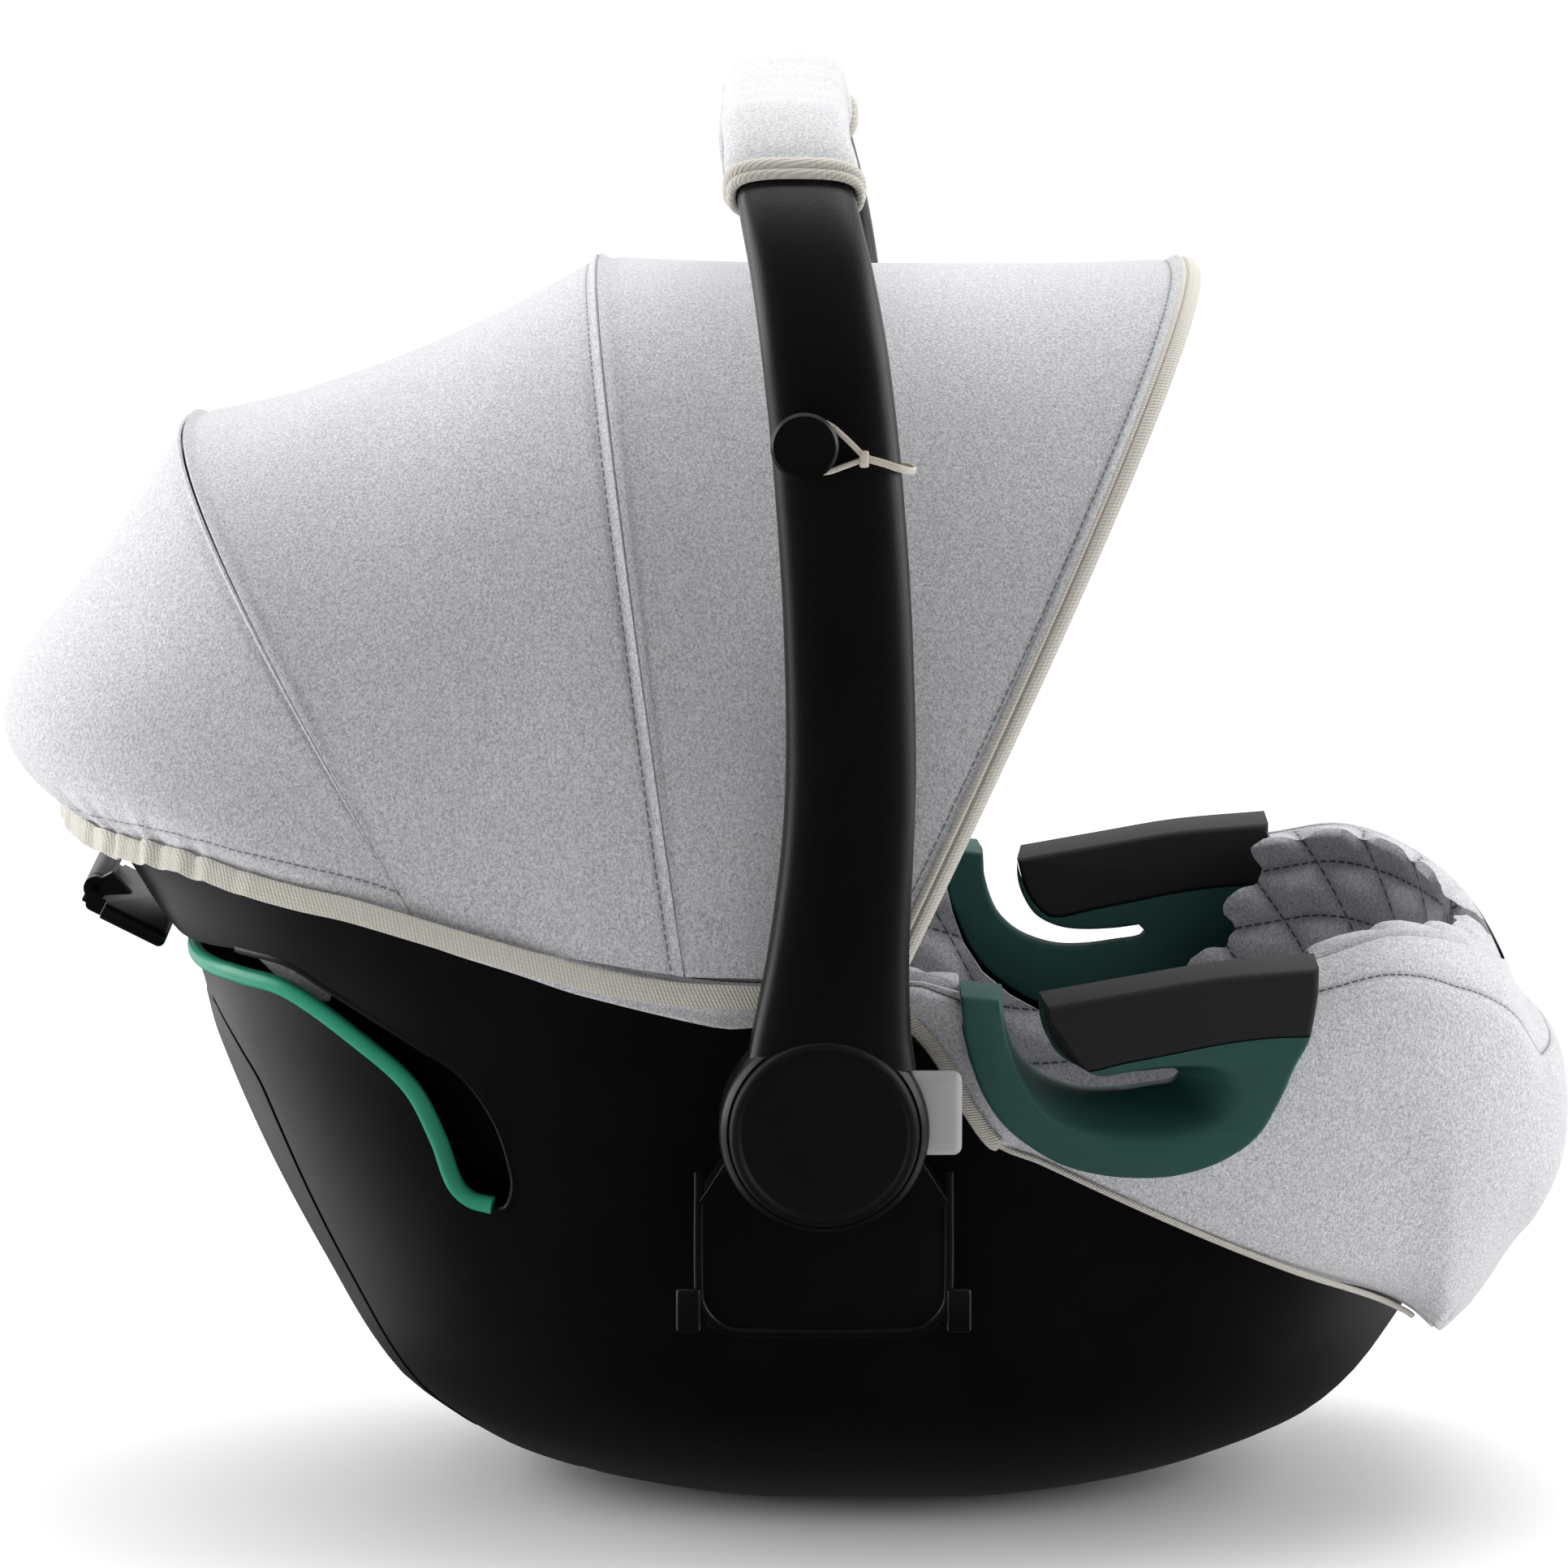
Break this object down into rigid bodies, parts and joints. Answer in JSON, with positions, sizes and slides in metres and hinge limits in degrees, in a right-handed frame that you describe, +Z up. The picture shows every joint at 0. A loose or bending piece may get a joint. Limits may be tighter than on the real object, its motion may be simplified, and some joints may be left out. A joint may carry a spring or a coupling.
{
  "type": "infant car seat",
  "caption": "Rearward-facing baby carrier with a rocker shell, padded quilted cover, three-point harness, folding canopy and a turning carry handle with a padded grip",
  "frame": {"origin": "on the floor under the middle of the overall box", "axes": "+X towards the foot end, +Y across towards the child's left, +Z up"},
  "size_m": [0.6564, 0.446, 0.59],
  "materials": {
    "shell_plastic": "fine-grained satin, nearly black",
    "cover_plastic": "satin",
    "tub_plastic": "matte",
    "socket_plastic": "satin",
    "handle_plastic": "satin",
    "cap_plastic": "smooth semi-gloss",
    "lever_plastic": "satin",
    "bow_plastic": "matte",
    "buckle_plastic": "semi-gloss",
    "adjuster_plastic": "matte",
    "trim_green": "semi-gloss bright green",
    "hook_green": "satin deep green",
    "grip_rubber": "soft-touch matte",
    "foam": "bead foam",
    "cover_fabric": "light grey melange, quilted",
    "insert_fabric": "light grey melange, padded",
    "pad_fabric": "light grey melange, padded",
    "canopy_fabric": "light grey melange, taut",
    "sleeve_fabric": "light grey melange",
    "binding": "woven edge tape, warm light grey",
    "elastic": "round elastic cord, cream",
    "webbing": "woven harness webbing",
    "release_red": "semi-gloss",
    "button_grey": "satin light grey",
    "pin_steel": "zinc plated",
    "latch_steel": "zinc plated",
    "tongue_metal": "bright plated"
  },
  "bodies": {
    "shell": {"outer_shell": "shell_plastic", "back_cover": "cover_plastic", "belt_slot_trim": "trim_green", "seat_tub": "tub_plastic", "foam_liner": "foam", "seat_cover": "cover_fabric", "cover_skirt": "cover_fabric", "infant_insert": "insert_fabric", "adapter_socket_left": "socket_plastic", "adapter_socket_right": "socket_plastic", "pivot_pins": "pin_steel", "belt_hook_left": "hook_green", "belt_hook_right": "hook_green", "hook_grip_left": "grip_rubber", "hook_grip_right": "grip_rubber", "latch_bars": "latch_steel", "crotch_strap": "webbing", "crotch_pad": "pad_fabric", "buckle_body": "buckle_plastic", "buckle_tongues": "tongue_metal", "adjuster_housing": "buckle_plastic", "shoulder_strap_left": "webbing", "shoulder_strap_right": "webbing", "shoulder_pad_left": "pad_fabric", "shoulder_pad_right": "pad_fabric", "lever_bracket": "lever_plastic", "lever_pin": "pin_steel", "canopy_pivots": "bow_plastic", "rear_bow": "bow_plastic", "canopy_rear_panel": "canopy_fabric", "canopy_hem": "binding"},
    "handle": {"carry_handle": "handle_plastic", "handle_hub_left": "handle_plastic", "handle_hub_right": "handle_plastic", "hub_cap_left": "cap_plastic", "hub_cap_right": "cap_plastic", "handle_sleeve": "sleeve_fabric", "sleeve_bindings": "binding", "loop_hook_left": "cap_plastic", "loop_hook_right": "cap_plastic", "elastic_loop_left": "elastic", "elastic_loop_right": "elastic", "button_spring_left": "pin_steel", "button_spring_right": "pin_steel"},
    "button_left": {"handle_button_left": "button_grey"},
    "button_right": {"handle_button_right": "button_grey"},
    "canopy_mid": {"mid_bow": "bow_plastic", "mid_bow_ends": "bow_plastic", "canopy_mid_panel": "canopy_fabric"},
    "canopy_front": {"front_bow": "bow_plastic", "front_bow_ends": "bow_plastic", "canopy_front_panel": "canopy_fabric", "canopy_front_binding": "binding"},
    "headrest": {"headrest_shell": "tub_plastic", "headrest_pad": "pad_fabric"},
    "lever": {"release_lever": "lever_plastic"},
    "buckle_release": {"buckle_button": "release_red"},
    "strap_release": {"adjuster_button": "adjuster_plastic"}
  },
  "joints": [
    {"name": "handle_turn", "type": "hinge", "parent": "shell", "child": "handle", "pos_m": [0.016, 0, 0.187], "axis": [0, 1, 0], "range_deg": [-110, 0]},
    {"name": "canopy_mid_fold", "type": "hinge", "parent": "shell", "child": "canopy_mid", "pos_m": [0.014, 0, 0.238], "axis": [0, 1, 0], "range_deg": [-24, 0], "deforming": ["canopy_mid_panel"]},
    {"name": "canopy_front_fold", "type": "hinge", "parent": "canopy_mid", "child": "canopy_front", "pos_m": [0.014, 0, 0.238], "axis": [0, 1, 0], "range_deg": [-40, 0], "deforming": ["canopy_front_panel"]},
    {"name": "button_left_press", "type": "slide", "parent": "handle", "child": "button_left", "axis": [-1, 0, 0], "range_m": [0, 0.006], "stiffness_N_per_m": 600, "springref_m": -0.002, "deforming": ["button_spring_left"]},
    {"name": "button_right_press", "type": "slide", "parent": "handle", "child": "button_right", "axis": [-1, 0, 0], "range_m": [0, 0.006], "stiffness_N_per_m": 600, "springref_m": -0.002, "deforming": ["button_spring_right"]},
    {"name": "headrest_slide", "type": "slide", "parent": "shell", "child": "headrest", "axis": [-0.8854, 0, 0.4648], "range_m": [0, 0.024]},
    {"name": "lever_squeeze", "type": "hinge", "parent": "shell", "child": "lever", "pos_m": [-0.287, 0, 0.2555], "axis": [0, 1, 0], "range_deg": [-6, 0], "stiffness_Nm_per_rad": 1.5, "springref_deg": 5.73},
    {"name": "buckle_press", "type": "slide", "parent": "shell", "child": "buckle_release", "axis": [0.4695, 0, -0.8829], "range_m": [0, 0.003], "stiffness_N_per_m": 800, "springref_m": -0.002},
    {"name": "adjuster_press", "type": "slide", "parent": "shell", "child": "strap_release", "axis": [0.5299, 0, -0.848], "range_m": [0, 0.003], "stiffness_N_per_m": 800, "springref_m": -0.002}
  ],
  "couplings": [
    {"joint": "canopy_front_fold", "follows": "canopy_mid_fold", "ratio": 1.6667}
  ]
}
